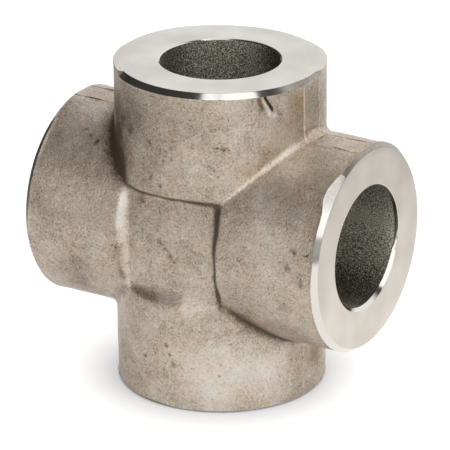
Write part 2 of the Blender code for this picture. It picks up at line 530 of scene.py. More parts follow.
    def pad_height(self, side: np.ndarray, along: np.ndarray) -> np.ndarray:
        """Return the height of the crowned pad.

        The pad falls with the square of the distance from its middle. Its fall is set so
        that its corner meets the fillet's middle beside the pad.

        Args:
            side: Distances across the arm.
            along: Distances along the arm.

        Returns:
            The heights, negative to the front.
        """
        corner_angle = np.array([math.acos(self.pad_half_width / self.section.radius)])
        corner = self.crotch_point(corner_angle, np.array([0.5]))[0]
        middle = self.section.radius - self.pad_recess
        fall = (middle + corner[1]) / (corner[0] ** 2 + corner[2] ** 2)
        return fall * (side**2 + along**2) - middle

    def crotch_point(self, angles: np.ndarray, turn: np.ndarray) -> np.ndarray:
        """Return points of the fillet where two equal barrels cross.

        A ball of the fillet's radius r that touches both barrels of radius R lies with
        its middle at (R + r) cos t from both arms' planes and (R + r) sin t to the front.
        The fillet is the ball's arc between its two contacts, and the direction on it is
        the even turn between them, at a share of the way.

        Args:
            angles: Angle t of the contact on this arm's barrel.
            turn: Share of the way to the other arm's contact, 0 to 1.

        Returns:
            Points, one per row.
        """
        ball = self.section.radius + self.crotch_fillet
        reach = ball * np.cos(angles)
        between = np.maximum(np.arccos(np.clip(np.sin(angles) ** 2, -1.0, 1.0)), LEAST_TURN)
        own = np.sin((1.0 - turn) * between) / np.sin(between)
        other = np.sin(turn * between) / np.sin(between)
        return np.stack(
            [
                reach - self.crotch_fillet * own * np.cos(angles),
                -ball * np.sin(angles) + self.crotch_fillet * (own + other) * np.sin(angles),
                reach - self.crotch_fillet * other * np.cos(angles),
            ],
            axis=-1,
        )

    def inner_grid(self, angles: np.ndarray, top: np.ndarray) -> np.ndarray:
        """Return the ribs from the diagonal over the fillet to a height on the barrel.

        Half of the rows stand close together below that height, where the pad's step is.
        The rest are spread over the way that is left, straight on the barrel and then
        round the fillet.

        Args:
            angles: Angles of the ribs.
            top: Height on the barrel where each rib's rows end.

        Returns:
            Points in the arm's own directions: side, front and along.
        """
        side, front = self.section.outline(angles)
        trim = self.section.radius * np.cos(angles) - side
        trim = np.where(angles < self.section.flat_angle, trim, 0.0)
        start = (self.section.radius + self.crotch_fillet) * np.cos(angles) - trim
        arc = self.crotch_fillet * np.arccos(np.clip(np.sin(angles) ** 2, -1.0, 1.0)) / 2
        path = (top - start) + arc
        near = np.minimum(self.close_reach, path / 2)
        share = np.linspace(1.0, 0.0, self.inner_rows + 1)[None, :]
        spread = near[:, None] + (path - near)[:, None] * (share * 2 - 1)
        walked = np.where(share < 0.5, near[:, None] * share * 2, spread)
        past = walked - (top - start)[:, None]
        on_arc = np.clip(past / np.maximum(arc, LEAST_LENGTH)[:, None], 0.0, 1.0)
        inner = self.crotch_point(np.repeat(angles[:, None], self.inner_rows + 1, axis=1), on_arc / 2)
        straight = past <= 0.0
        inner[..., 0] -= trim[:, None] * (1.0 - on_arc)
        inner[..., 1] = np.where(straight, front[:, None], inner[..., 1])
        inner[..., 2] = np.where(straight, top[:, None] - walked, inner[..., 2])
        inner[:, 0, 2] = inner[:, 0, 0]
        return inner

    def skin_grid(self, angles: np.ndarray, foot: np.ndarray) -> np.ndarray:
        """Return the forged skin of a quarter arm, from the diagonal to the bevel's foot.

        Args:
            angles: Angles of the ribs.
            foot: Height of the bevel's foot on each rib.

        Returns:
            Points in the arm's own directions. The barrel's rows draw closer to the foot.
        """
        side, front = self.section.outline(angles)
        start = (self.section.radius + self.crotch_fillet) * np.cos(angles)
        top = np.maximum(start, self.pad_half_width + self.pad_margin)
        left = 1.0 - np.linspace(0.0, 1.0, self.barrel_rows + 1)[1:]
        rise = 1.0 - (self.even_share * left + (1.0 - self.even_share) * left**2)
        along = top[:, None] + (foot - top)[:, None] * rise
        beside = np.broadcast_to(side[:, None], along.shape)
        ahead = np.broadcast_to(front[:, None], along.shape)
        barrel = np.stack([beside, ahead, along], axis=-1)
        return np.concatenate([self.inner_grid(angles, top), barrel], axis=1)

    def sink_pad(self, grid: np.ndarray, arm: Arm, beside: Arm, octant: Octant) -> np.ndarray:
        """Ease the heights inside the pad from the barrel's to the pad's.

        The share of the pad is the product of two smooth steps s, one along the arm and
        one across it. Each step has its own run, which grows along it by its taper. Its
        tone, a painted shade or highlight on the step, goes by its slope, as 4 s (1 - s),
        which is 1 half way down.

        Args:
            grid: Points in the arm's own directions, whose heights are changed.
            arm: The arm itself, whose step crosses it.
            beside: The arm on the other side of the diagonal.
            octant: Where the quarter lies.

        Returns:
            The painted shade and highlight of the steps at each point.
        """
        side, along = grid[..., 0], grid[..., 2]
        flat = self.to_world(grid, arm, octant)
        flat[..., 1] = 0.0
        wander = self.step_wander * self.step_waves.height(flat)
        steps = []
        for owner, across, place in ((arm, along, side), (beside, side, along)):
            signed = place * octant.across(owner) / self.pad_half_width
            run = owner.step_run * (1.0 + owner.step_taper * signed)
            steps.append(smoothstep((self.pad_half_width + run / 2 - across + wander) / run))
        own, other = steps
        grid[..., 1] += (self.pad_height(side, along) - grid[..., 1]) * own * other
        # Painted shade or highlight along each step, strongest half way down it.
        of_own = 4.0 * own * (1.0 - own) * other * arm.step_tone
        of_other = 4.0 * other * (1.0 - other) * own * beside.step_tone
        return of_own + of_other

    def bevel_width(self, outer: np.ndarray, chamfer: np.ndarray) -> np.ndarray:
        """Return the bevel's width on each rib, less what the flat takes from the round."""
        return np.maximum(outer - self.section.radius + chamfer[0], self.least_chamfer)

    def bevel_rings(self, arm: Arm, outer: np.ndarray, chamfer: np.ndarray, foot: np.ndarray) -> Rings:
        """Return the rings of the bevel and its rim, past the bevel's foot.

        The bevel is a straight line from its foot, and an arc tangent to it and to the
        face rounds the rim.

        Args:
            arm: The arm.
            outer: The section's radius on each rib.
            chamfer: The bevel's values on each rib.
            foot: Height of the bevel's foot on each rib.

        Returns:
            The rings, of which the last lies on the face.
        """
        run, rise = self.bevel_width(outer, chamfer), arm.reach - foot
        length = np.hypot(run, rise)
        turn = math.pi / 2 - np.arctan2(run, rise)
        bend = np.minimum(arm.rim_round, self.rim_share * length / np.tan(turn / 2))
        ahead = np.stack([-run / length, rise / length])
        inwards = np.stack([-ahead[1], ahead[0]])
        corner = np.stack([outer - run, np.full_like(foot, arm.reach)])
        begin = corner - ahead * bend * np.tan(turn / 2)
        ends = np.stack([outer, foot])
        bevel = ends[..., None] + (begin - ends)[..., None] * np.array(self.bevel_rows)
        swing = turn[:, None] * np.linspace(0.0, 1.0, self.rim_rows + 1)[1:]
        rim = begin[..., None] + bend[:, None] * (
            ahead[..., None] * np.sin(swing) + inwards[..., None] * (1.0 - np.cos(swing)))
        radii, heights = np.concatenate([bevel, rim], axis=-1)
        count = radii.shape[1]
        return Rings(radii, heights, np.zeros((2, count)), [Surface.BEVEL] * count)

    def face_rings(self, arm: Arm, rim: np.ndarray) -> Rings:
        """Return the rings of the flat face, at even steps from the rim to the mouth.

        Args:
            arm: The arm.
            rim: The rim's radius on each rib.

        Returns:
            The rings, whose middles move from the barrel's axis to the mouth's.
        """
        share = np.linspace(0.0, 1.0, self.face_rows + 1)[1:]
        radii = rim[:, None] + (arm.mouth_radius + self.mouth_round - rim[:, None]) * share
        heights = np.full_like(radii, arm.reach)
        return Rings(radii, heights, np.outer(arm.mouth_shift, share), [Surface.FACE] * self.face_rows)

    def socket_rings(self, arm: Arm, ribs: int) -> Rings:
        """Return the rings of the mouth and the socket, which are the same on every rib.

        A cone leads from the mouth into the socket, whose wall ends at a small fillet and
        at a flat shoulder around the through bore.

        Args:
            arm: The arm.
            ribs: Number of ribs.

        Returns:
            The rings, of which the last lies on the through bore's wall.
        """
        throat, shoulder = arm.reach - arm.lead_in_depth, self.shoulder_height
        mouth, socket, axis = arm.mouth_shift, arm.socket_shift, (0.0, 0.0)
        rings = [
            (arm.mouth_radius, arm.reach - self.mouth_round, mouth, Surface.FACE),
            (arm.socket_radius, throat, socket, Surface.BEVEL),
        ]
        for height in np.linspace(throat, shoulder + self.shoulder_fillet, self.bore_rows + 1)[1:]:
            rings.append((arm.socket_radius, height, socket, Surface.BORE))
        rings += [
            (arm.socket_radius - self.shoulder_fillet, shoulder, socket, Surface.BORE),
            (self.through_radius + self.mouth_round, shoulder, axis, Surface.BORE),
            (self.through_radius, shoulder - self.mouth_round, axis, Surface.BORE),
        ]
        radii, heights, shifts, surfaces = zip(*rings)
        radii, heights = (np.tile(row, (ribs, 1)) for row in (radii, heights))
        return Rings(radii, heights, np.array(shifts).T, list(surfaces))

    def through_grid(self, angles: np.ndarray, ledge: np.ndarray) -> np.ndarray:
        """Return the through bore of a quarter arm, from the socket to the crossing.

        Two bores of radius r meet, on the rib at angle t, at the height r cos t.

        Args:
            angles: Angles t of the ribs.
            ledge: Height on each rib where the bore begins.

        Returns:
            Points in the arm's own directions, at even steps down each rib.
        """
        down = np.linspace(0.0, 1.0, self.bore_rows + 1)[1:]
        side = np.repeat(self.through_radius * np.cos(angles)[:, None], self.bore_rows, axis=1)
        front = np.repeat(-self.through_radius * np.sin(angles)[:, None], self.bore_rows, axis=1)
        along = ledge[:, None] + (side - ledge[:, None]) * down
        return np.stack([side, front, along], axis=-1)

    def end_grid(self, angles: np.ndarray, arm: Arm, octant: Octant, chamfer: np.ndarray,
                 foot: np.ndarray) -> tuple[np.ndarray, list[Surface]]:
        """Return the turned end and the bore of a quarter arm, past the bevel's foot.

        Args:
            angles: Angles of the ribs.
            arm: The arm itself.
            octant: Where the quarter lies.
            chamfer: The bevel's values on each rib.
            foot: Height of the bevel's foot on each rib.

        Returns:
            Points in the arm's own directions, and the surface of the strip that ends at
            each row. The last rows run down the through bore to the diagonal.
        """
        bevel = self.bevel_rings(arm, np.hypot(*self.section.outline(angles)), chamfer, foot)
        parts = (bevel, self.face_rings(arm, bevel.radii[:, -1]), self.socket_rings(arm, len(angles)))
        radii = np.concatenate([part.radii for part in parts], axis=1)
        heights = np.concatenate([part.heights for part in parts], axis=1)
        shifts = np.concatenate([part.shifts for part in parts], axis=1)
        surfaces = [surface for part in parts for surface in part.surfaces]
        side = np.cos(angles)[:, None] * radii + shifts[0] * octant.across(arm)
        front = -np.sin(angles)[:, None] * radii + shifts[1] * octant.front
        turned = np.stack([side, front, heights], axis=-1)
        bored = self.through_grid(angles, heights[:, -1])
        return np.concatenate([turned, bored], axis=1), surfaces + [Surface.BORE] * self.bore_rows

    def to_world(self, grid: np.ndarray, arm: Arm, octant: Octant) -> np.ndarray:
        """Turn points from an arm's own directions into the cross's.

        Args:
            grid: Points as side, front and along.
            arm: The arm itself.
            octant: Where the quarter lies, which gives the signs of side and front.

        Returns:
            Points as X, Y and Z.
        """
        return grid @ self.directions(arm, octant)

    def directions(self, arm: Arm, octant: Octant) -> np.ndarray:
        """Return an arm quarter's side, front and along directions, one per row."""
        across = np.array(arm.across) * octant.across(arm)
        return np.array([across, (0, octant.front, 0), arm.along], dtype=float)

    def bevel_foot(self, angles: np.ndarray, arm: Arm, octant: Octant, chamfer: np.ndarray) -> np.ndarray:
        """Return the height of the bevel's foot on each rib.

        It is the bevel's depth below the face, in proportion to the width that the
        section leaves it there, and wanders a little.

        Args:
            angles: Angles of the ribs.
            arm: The arm itself.
            octant: Where the quarter lies.
            chamfer: The bevel's values on each rib.

        Returns:
            Heights along the arm.
        """
        side, front = self.section.outline(angles)
        width = self.bevel_width(np.hypot(side, front), chamfer)
        rim = self.to_world(np.stack([side, front, np.full_like(side, arm.reach)], axis=-1), arm, octant)
        wander = arm.foot_wander * self.foot_waves.height(rim) * smoothstep(width / self.steady_width)
        return arm.reach - chamfer[1] * width / chamfer[0] + wander

    def rib_angles(self, octant: Octant) -> np.ndarray:
        """Return the angles of an octant's ribs, finer at the front and in its zones.

        Args:
            octant: Where the ribs lie.

        Returns:
            Rising angles, from 0 to a right angle.
        """
        if octant.front < 0:
            return self.section.rib_angles(self.section.back_gap, ())
        zones = tuple(zone for place, zone in self.fine_zones if place == octant)
        return self.section.rib_angles(self.section.front_gap, (self.corner_zone, *zones))

    def point_values(self, arm: Arm, skin: np.ndarray, end: np.ndarray, tone: np.ndarray,
                     chamfer: np.ndarray, foot: np.ndarray) -> dict[PointValue, np.ndarray]:
        """Return the values of a quarter arm's points.

        The skin is free beyond a short settling length below the bevel, and has the tone
        and warmth of the flash beside the parting flat; the flash's tone is partly its own
        colour and partly painted highlight and shadow. It also takes the painted shade and
        highlight of the pad's steps. On the skin and on the bevel's rings, the bevel's own
        values say how dull and scaled it is.

        Args:
            arm: The arm itself.
            skin: Points of the skin, in the arm's own directions.
            end: Points of the turned end and the bore.
            tone: The painted shade and highlight of the pad's steps on the skin.
            chamfer: The bevel's values on each rib.
            foot: Height of the bevel's foot on each rib.

        Returns:
            For each kind of value, a grid of the skin's points and then the end's.
        """
        grid = np.concatenate([skin, end], axis=1)
        rows = skin.shape[1]
        turned = rows + len(self.bevel_rows) + self.rim_rows
        values = {value: np.zeros(grid.shape[:2]) for value in PointValue}
        off_edge = np.abs(np.abs(skin[..., 1]) - self.section.flat_edge)
        flash = smoothstep(1.0 - off_edge / self.flash_tone_half_width)
        values[PointValue.FROM_AXIS][:] = np.hypot(grid[..., 0], grid[..., 1])
        values[PointValue.FREEDOM][:, :rows] = smoothstep((foot[:, None] - skin[..., 2]) / self.settle)
        # Painted shade and highlight of the pad's steps, and the flash's tone, partly painted highlight and
        # shadow.
        values[PointValue.TONE][:, :rows] = tone + flash * arm.flash_tone
        values[PointValue.WARMTH][:, :rows] = flash * arm.flash_warmth
        values[PointValue.WARMTH][:, rows:] = arm.face_warmth
        values[PointValue.DULL][:, :turned] = chamfer[2][:, None]
        values[PointValue.SCALE][:, :turned] = chamfer[3][:, None]
        return values

    def patch(self, arm: Arm, beside: Arm, octant: Octant) -> Patch:
        """Return the grid of one quarter arm, from the outer to the inner diagonal.

        Args:
            arm: The arm itself.
            beside: The arm on the other side of the diagonal.
            octant: Where the quarter lies.

        Returns:
            The grid in the cross's directions.
        """
        angles = self.rib_angles(octant)
        around = np.arctan2(octant.across(arm) * np.cos(angles), octant.front * np.sin(angles))
        chamfer = arm.chamfer(around)
        foot = self.bevel_foot(angles, arm, octant, chamfer)
        skin = self.skin_grid(angles, foot)
        tone = self.sink_pad(skin, arm, beside, octant)
        end, end_surfaces = self.end_grid(angles, arm, octant, chamfer, foot)
        values = self.point_values(arm, skin, end, tone, chamfer, foot)
        points = self.to_world(np.concatenate([skin, end], axis=1), arm, octant)
        surfaces = np.array([Surface.SKIN] * (skin.shape[1] - 1) + end_surfaces)
        flipped = np.linalg.det(self.directions(arm, octant)) < 0
        return Patch(points, values, surfaces, flipped)

    def patches(self) -> list[Patch]:
        """Make all the quarter arms.

        Returns:
            Sixteen patches, two in each octant.
        """
        made = []
        for right, level in ((1, self.right), (-1, self.left)):
            for upper, upright in ((1, self.top), (-1, self.bottom)):
                for front in (1, -1):
                    octant = Octant(right, upper, front)
                    made.append(self.patch(upright, level, octant))
                    made.append(self.patch(level, upright, octant))
        return made

    def weld(self, patches: list[Patch]) -> tuple[
            np.ndarray, dict[PointValue, np.ndarray], np.ndarray, np.ndarray]:
        """Join the grids into one closed surface of four-sided faces.

        Points that fall on the same step of a very fine lattice become one.

        Args:
            patches: The grids.

        Returns:
            Points, their values, faces and the faces' surfaces.
        """
        faces, surfaces, first = [], [], 0
        for patch in patches:
            ribs, rows = patch.points.shape[:2]
            index = first + np.arange(ribs * rows).reshape(ribs, rows)
            quads = np.stack([index[:-1, :-1], index[:-1, 1:], index[1:, 1:], index[1:, :-1]], axis=-1)
            if patch.flipped:
                quads = quads[..., ::-1]
            faces.append(quads.reshape(-1, 4))
            surfaces.append(np.repeat(patch.surfaces[None, :], ribs - 1, axis=0).ravel())
            first += ribs * rows
        points = np.concatenate([patch.points.reshape(-1, 3) for patch in patches])
        lattice = np.rint(points / self.weld_step).astype(np.int64)
        _, kept, joined = np.unique(lattice, axis=0, return_index=True, return_inverse=True)
        values = {
            value: np.concatenate([patch.values[value].ravel() for patch in patches])[kept]
            for value in PointValue
        }
        return points[kept], values, joined.ravel()[np.concatenate(faces)], np.concatenate(surfaces)

    def vertex_normals(self, points: np.ndarray, faces: np.ndarray) -> np.ndarray:
        """Return unit normals at the points: each is the sum of its faces' area vectors.

        Args:
            points: Points of the surface.
            faces: Four-sided faces, whose area vector is half the diagonals' cross product.

        Returns:
            Unit normals, one per point.
        """
        first, second, third, fourth = (points[faces[:, corner]] for corner in range(4))
        area = np.cross(third - first, fourth - second)
        normals = np.zeros_like(points)
        for corner in range(4):
            np.add.at(normals, faces[:, corner], area)
        return normals / np.maximum(np.linalg.norm(normals, axis=1, keepdims=True), LEAST_AREA)

    def relief(self, points: np.ndarray) -> np.ndarray:
        """Return how far the forged skin stands proud at each point.

        The skin lies a little inside its nominal shape. On it are low waves all over, a
        ragged ridge of flash along both edges of the parting flat, and the dents and ridges of its marks.

        Args:
            points: Points of the skin.

        Returns:
            Heights in metres.
        """
        height = self.skin_level + sum(waves.height(points) for waves in self.unevenness)
        off_edge = np.abs(np.abs(points[:, 1]) - self.section.flat_edge) / self.flash_half_width
        ragged = np.clip(self.flash_mean + self.flash_waves.height(points), 0.0, self.flash_most)
        height = height + smoothstep(1.0 - off_edge) * ragged * self.flash_height
        return height + sum(mark.share(points) * mark.height * MM for mark in self.scars)

    def build(self, materials: list[bpy.types.Material]) -> bpy.types.Object:
        """Make the cross as one closed mesh.

        Args:
            materials: One material for each surface, in the order of Surface.

        Returns:
            The object, at the origin, with its place in its mesh.
        """
        points, values, faces, surfaces = self.weld(self.patches())
        normals = self.vertex_normals(points, faces)
        freedom = values[PointValue.FREEDOM]
        # Painted shade and highlight along the creases, then the tones of the marks, mostly painted shade and
        # highlight.
        values[PointValue.TONE] += sum(crease.tones(points) for crease in self.creases) * freedom
        values[PointValue.TONE] += sum(mark.share(points) * mark.tone for mark in self.scars)
        values[PointValue.WARMTH] += sum(mark.share(points) * mark.warmth for mark in self.scars)
        points += normals * (self.relief(points) * freedom)[:, None]
        mesh = bpy.data.meshes.new(self.name)
        mesh.from_pydata(points, [], faces)
        for material in materials:
            mesh.materials.append(material)
        mesh.polygons.foreach_set("material_index", surfaces.astype(np.int32))
        for value, column in values.items():
            attribute = mesh.attributes.new(value.value, "FLOAT", "POINT")
            attribute.data.foreach_set("value", column.astype(np.float32))
        mesh.shade_smooth()
        mesh.set_sharp_from_angle(angle=self.sharp_angle)
        mesh.validate()
        cross = bpy.data.objects.new(self.name, mesh)
        bpy.context.scene.collection.objects.link(cross)
        return cross


def linear(colour: str) -> tuple[float, float, float, float]:
    """Turn an sRGB hex colour into linear red, green, blue and alpha.

    Args:
        colour: Six hex digits after a hash sign.

    Returns:
        The linear colour, by the sRGB curve, with an alpha of 1.
    """
    parts = [int(colour[place:place + 2], 16) / 255 for place in (1, 3, 5)]
    red, green, blue = (c / 12.92 if c <= 0.04045 else ((c + 0.055) / 1.055) ** 2.4 for c in parts)
    return red, green, blue, 1.0


def add_node(tree: bpy.types.NodeTree, kind: str, inputs: dict[Any, Any] | None = None,
             **settings: Any) -> bpy.types.Node:
    """Add a node, with its settings, its values and its links.

    Args:
        tree: The node tree.
        kind: The node's type name.
        inputs: For each input's name or number, its value or the output that feeds it.
        settings: Properties of the node. A colour ramp's stops are given as stops, pairs
            of a place and a hex colour.

    Returns:
        The node.
    """
    node = tree.nodes.new(kind)
    stops = settings.pop("stops", ())
    for name, value in settings.items():
        setattr(node, name, value)
    for number, (place, colour) in enumerate(stops):
        elements = node.color_ramp.elements
        element = elements[number] if number < 2 else elements.new(place)
        element.position = place
        element.color = linear(colour)
    for key, value in (inputs or {}).items():
        if isinstance(value, bpy.types.NodeSocket):
            tree.links.new(value, node.inputs[key])
        else:
            node.inputs[key].default_value = value
    return node


def weigh(tree: bpy.types.NodeTree, parts: tuple[tuple[Any, float], ...], level: Any) -> Any:
    """Return a level plus the sum of outputs times their weights.

    Args:
        tree: The node tree.
        parts: Outputs with their weights.
        level: The level to add, a number or an output.

    Returns:
        The output of the last sum.
    """
    for output, weight in parts:
        level = add_node(tree, "ShaderNodeMath", {0: output, 1: weight, 2: level},
                         operation="MULTIPLY_ADD").outputs[0]
    return level


@dataclass(frozen=True)
class Finish:
    """A finish of the steel: its name, how metallic it is and its roughness where even.

    The patterns of all the finishes are noises, from 0 to 1 with a mean of a half. Fall
    is the strength of each finer layer of a noise.
    """

    name: str
    roughness: float
    metallic: float = 1.0
    fall: float = 0.6

    def start(self, *wanted: PointValue) -> tuple[
            bpy.types.Material, bpy.types.NodeTree, bpy.types.Node, Any, list[Any]]:
        """Start a material with its metal shader.

        Args:
            wanted: Values of the cross's points that the finish follows.

        Returns:
            The material, its node tree, its shader, the Object coordinates and the
            outputs of the wanted values.
        """
        material = bpy.data.materials.new(self.name)
        material.use_nodes = True
        tree = material.node_tree
        shader = tree.nodes["Principled BSDF"]
        shader.inputs["Metallic"].default_value = self.metallic
        shader.inputs["Roughness"].default_value = self.roughness
        place = add_node(tree, "ShaderNodeTexCoord").outputs["Object"]
        values = [
            add_node(tree, "ShaderNodeAttribute", attribute_name=value.value).outputs["Fac"]
            for value in wanted
        ]
        return material, tree, shader, place, values


@dataclass(frozen=True)
class Spot:
    """A round patch of the skin, stained or of painted light or shade: its place and radius in mm, its tone
    and its warmth.
    """

    place: tuple[float, float, float]
    radius: float
    tone: float = 0.0
    warmth: float = 0.0


@dataclass(frozen=True)
class PickledForging(Finish):
    """Stainless steel, hammer forged, shot blasted and pickled.

    The die, the shot and the acid leave a dull, fine-grained, warm grey-brown skin. Its
    film of residue scatters light as a stone does, so it is only partly metallic. The
    blast grains of 0.1 to 0.2 mm are drawn about twice as coarse, so that they show.

    Weights say how much each pattern changes the colour, heights how much it changes
    the relief. Pits lie where their noise is below the pit edges. The tone of the points
    and many round patches are painted light and shade.
    """

    name: str = "pickled_stainless_forging"
    roughness: float = 0.42
    metallic: float = 0.6
    blotch: float = 7.0 * MM
    cloud: float = 1.8 * MM
    grain: float = 0.42 * MM
    pit: float = 0.75 * MM
    grain_depth: float = 0.085 * MM
    blotch_weight: float = 0.30
    cloud_weight: float = 0.18
    grain_weight: float = 0.42
    pit_weight: float = -0.10
    tone_weight: float = 0.24
    grain_height: float = 0.8
    cloud_height: float = 1.7
    pit_height: float = -0.7
    pit_edges: tuple[float, float] = (0.36, 0.27)
    spot_reach: float = 1.6
    fray: float = 1.1 * MM
    tint: float = 4.5 * MM
    stops: tuple[tuple[float, str], ...] = (
        (0.20, "#5a4e40"), (0.38, "#9d8f7e"), (0.50, "#c0b2a1"), (0.62, "#d7ccbf"), (0.80, "#e8e2da"))
    brown: str = "#eedcc0"
    tints: tuple[tuple[float, str], ...] = ((0.36, "#f9fbf9"), (0.5, "#fefcfb"), (0.64, "#fff9f5"))
    # Small spots are specks and stains of the skin, and warmth is its own brown. The broad spots that only
    # lighten or darken are painted light and shade, lighter where the light falls on the arms and darker
    # where it does not.
    spots: tuple[Spot, ...] = (
        Spot((12.9, -20.0, 25.0), 0.8, tone=-0.8, warmth=0.9), Spot((11.6, -20.8, 25.1), 0.4, tone=-1.2),
        # The last spot on this line and both on the next are painted shade on the top arm's left side, beside
        # the left arm.
        Spot((14.0, -19.2, 25.0), 0.4, tone=-1.2), Spot((-16.0, -17.6, 24.0), 2.6, tone=-0.9),
        Spot((-17.6, -16.0, 27.5), 2.2, tone=-0.6), Spot((-14.6, -18.8, 17.5), 2.2, tone=-0.7),
        Spot((10.5, -21.4, 18.8), 0.4, tone=1.1), Spot((-10.2, -21.5, 25.7), 1.2, tone=-0.4, warmth=0.8),
        Spot((-4.1, -23.4, 24.5), 0.6, tone=-0.9), Spot((-3.3, -23.6, 22.5), 0.4, tone=-0.8),
        Spot((-2.2, -23.7, 19.8), 0.5, tone=-0.9), Spot((-3.9, -23.5, 16.3), 0.6, tone=-0.8),
        Spot((-1.2, -23.8, 14.8), 0.5, tone=-0.8), Spot((-27.5, -13.3, 19.8), 0.6, tone=-1.2),
        Spot((-25.7, -14.1, 19.2), 0.5, tone=-1.0), Spot((-23.5, -15.0, 18.5), 0.7, tone=-1.1),
        Spot((-20.3, -16.3, 17.3), 0.5, tone=-0.9), Spot((-2.1, -22.7, 1.0), 0.8, tone=-0.9),
        Spot((-1.0, -22.7, -0.5), 0.6, tone=-1.1), Spot((0.5, -22.7, -1.4), 0.8, tone=-0.8),
        Spot((1.8, -22.6, -2.8), 0.6, tone=-0.8), Spot((-0.1, -23.8, -23.1), 0.6, tone=-1.2),
        Spot((0.9, -23.8, -25.0), 0.5, tone=-1.3), Spot((1.6, -23.7, -27.4), 0.6, tone=-1.1),
        Spot((-6.2, -23.0, -27.0), 0.5, tone=-1.1), Spot((12.0, -20.6, -28.9), 0.5, tone=-1.0),
        Spot((11.9, -20.6, -33.3), 0.5, tone=-0.8), Spot((31.9, -23.0, 6.0), 0.8, tone=-0.9),
        Spot((35.4, -23.1, 5.8), 0.5, tone=-1.0), Spot((31.0, -23.7, 2.3), 0.8, tone=-0.8),
        Spot((34.6, -23.8, -0.9), 0.8, tone=-0.8), Spot((25.0, -18.2, 15.3), 3.6, tone=-0.2),
        Spot((29.8, -16.0, 17.6), 2.6, tone=-0.1), Spot((21.3, -10.6, 27.0), 4.0, tone=0.2, warmth=0.4),
        Spot((23.1, -5.8, 34.0), 2.6, warmth=0.55), Spot((23.1, -5.6, 29.0), 3.4, tone=0.2, warmth=0.4),
        Spot((23.7, -1.8, 31.0), 4.5, warmth=0.4), Spot((19.5, -13.6, 22.0), 3.0, warmth=0.4),
        Spot((17.4, -16.2, 18.8), 2.4, warmth=0.3), Spot((21.6, -10.0, 34.2), 1.7, tone=0.5, warmth=-0.4),
        # From here on the broad spots are painted light and painted shade over whole regions of the arms;
        # their warmth is the skin's own brown.
        Spot((20.2, -12.6, 28.0), 6.0, tone=0.3), Spot((-12.2, -20.4, 30.0), 6.0, tone=-0.45),
        Spot((-14.0, -19.2, 21.0), 5.0, tone=-0.5), Spot((23.4, 4.5, 30.0), 5.0, tone=-0.4),
        Spot((-14.6, -18.8, 27.5), 4.0, tone=-0.45), Spot((-14.8, -18.6, 18.5), 4.5, tone=-0.5),
        Spot((-17.6, -16.0, 32.5), 3.5, tone=-0.4), Spot((-27.0, -19.0, -13.5), 5.0, tone=-0.35),
        Spot((-5.0, -23.3, 25.0), 7.0, tone=-0.25), Spot((-27.0, -22.5, -6.0), 6.0, tone=-0.25),
        Spot((27.0, -22.8, 6.6), 6.0, tone=0.3), Spot((24.0, -20.6, 12.0), 5.0, tone=0.3),
        Spot((28.0, -12.0, 20.6), 6.0, tone=0.35), Spot((-26.0, -23.4, 3.3), 5.0, tone=0.35),
        Spot((-27.0, -9.0, 22.0), 5.0, tone=0.6), Spot((-26.0, -15.5, -18.0), 6.0, tone=-0.5),
        Spot((12.0, -20.5, -35.0), 5.0, tone=0.5), Spot((20.4, -12.2, -33.0), 5.0, tone=0.55),
        Spot((21.6, -10.0, -27.0), 4.0, tone=0.5), Spot((-15.0, -18.5, -30.0), 6.0, tone=-0.45),
        Spot((23.7, 2.0, -29.0), 4.2, tone=-0.45, warmth=0.8), Spot((15.6, -18.0, -27.6), 7.0, tone=0.7),
        Spot((23.2, -5.5, -29.0), 3.0, warmth=0.4), Spot((19.5, -13.6, -28.0), 3.5, tone=0.2),
        Spot((6.0, -23.0, -26.5), 6.0, tone=0.5), Spot((9.0, -22.0, -33.0), 5.0, tone=0.4),
        Spot((0.5, -23.6, -25.0), 6.0, warmth=0.2, tone=0.1), Spot((-7.5, -21.7, 10.0), 1.3, tone=-0.55),
        # The last spot on this line and the first on the next are a painted highlight on the pad's lower
        # step.
        Spot((12.0, -22.0, -9.0), 1.5, tone=-0.5), Spot((6.3, -23.0, -12.4), 3.0, tone=0.55),
        Spot((10.5, -22.4, -12.8), 1.6, tone=0.6), Spot((33.0, -19.5, -13.0), 6.0, tone=0.2),
    )

    def stain(self, tree: bpy.types.NodeTree, place: Any, tone: Any, warmth: Any) -> tuple[Any, Any]:
        """Return the tone and the warmth with every round patch added, stained ones and painted light and
        shade.

        A spot's share falls smoothly from 1 at its middle to 0 at its radius times the
        spot reach. The place is frayed by a noise, so that no spot is round.

        Args:
            tree: The node tree.
            place: Object coordinates.
            tone: The tone to add to.
            warmth: The warmth to add to.

        Returns:
            The two new outputs.
        """
        swirl = add_node(tree, "ShaderNodeTexNoise", {
            "Vector": place, "Scale": 1.0 / self.cloud, "Detail": 2.0}).outputs["Color"]
        swirl = add_node(tree, "ShaderNodeVectorMath", {0: swirl, 1: (0.5, 0.5, 0.5)}, operation="SUBTRACT")
        frayed = add_node(tree, "ShaderNodeVectorMath", {
            0: swirl.outputs[0], 1: (2 * self.fray,) * 3, 2: place}, operation="MULTIPLY_ADD").outputs[0]
        for spot in self.spots:
            middle = tuple(value * MM for value in spot.place)
            off = add_node(tree, "ShaderNodeVectorMath", {0: frayed, 1: middle}, operation="DISTANCE")
            share = add_node(tree, "ShaderNodeMapRange", {
                "Value": off.outputs["Value"], "From Min": self.spot_reach * spot.radius * MM,
                "From Max": 0.0}, interpolation_type="SMOOTHSTEP").outputs["Result"]
            if spot.tone:
                tone = weigh(tree, ((share, spot.tone),), tone)
            if spot.warmth:
                warmth = weigh(tree, ((share, spot.warmth),), warmth)
        return tone, warmth

    def build(self) -> bpy.types.Material:
        """Make the skin: blotches, grain, pits, stains and painted light and shade in its colour, and a fine
        relief.

        Returns:
            The material.
        """
        material, tree, shader, place, values = self.start(PointValue.TONE, PointValue.WARMTH)
